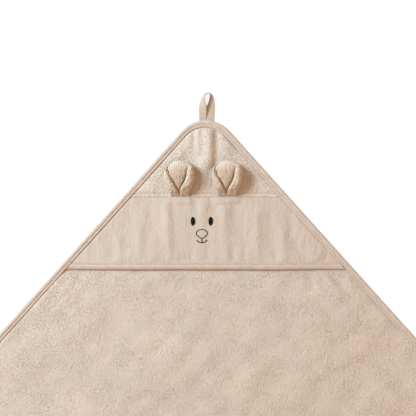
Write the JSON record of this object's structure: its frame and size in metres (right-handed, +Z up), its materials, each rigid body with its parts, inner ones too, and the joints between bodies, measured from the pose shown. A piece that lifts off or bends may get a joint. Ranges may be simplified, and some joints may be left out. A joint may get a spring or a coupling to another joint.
{
  "type": "hooded towel",
  "caption": "Square terry bath towel laid flat, with a bound edge, a seamed corner hood with folded ears and an embroidered face, and a hanging loop at the tip.",
  "frame": {"origin": "on the surface the towel lies on, below the middle of its square", "axes": "+Y along the hooded diagonal, from the middle to the hooded corner; +X to the right of it seen from above; +Z up"},
  "size_m": [0.9644, 1.1086, 0.0253],
  "materials": {
    "terry": "beige cotton terry, looped pile, matt",
    "binding_tape": "plain-woven cotton bias tape, folded and topstitched",
    "hood_cloth": "short-piled beige cotton, finely ribbed",
    "hood_terry": "beige cotton terry, looped pile, matt",
    "loop_tape": "doubled woven cotton tape",
    "ear_terry": "beige cotton terry, looped pile, matt",
    "ear_lining": "short-piled beige cotton"
  },
  "bodies": {
    "root": {"towel_body": "terry", "edge_binding": "binding_tape", "hood_face": "hood_cloth", "hood_tip": "hood_terry", "hood_edge_binding": "binding_tape", "hanging_loop": "loop_tape", "ear_left_outer": "ear_terry", "ear_left_inner": "ear_lining", "ear_right_outer": "ear_terry", "ear_right_inner": "ear_lining"}
  },
  "joints": []
}
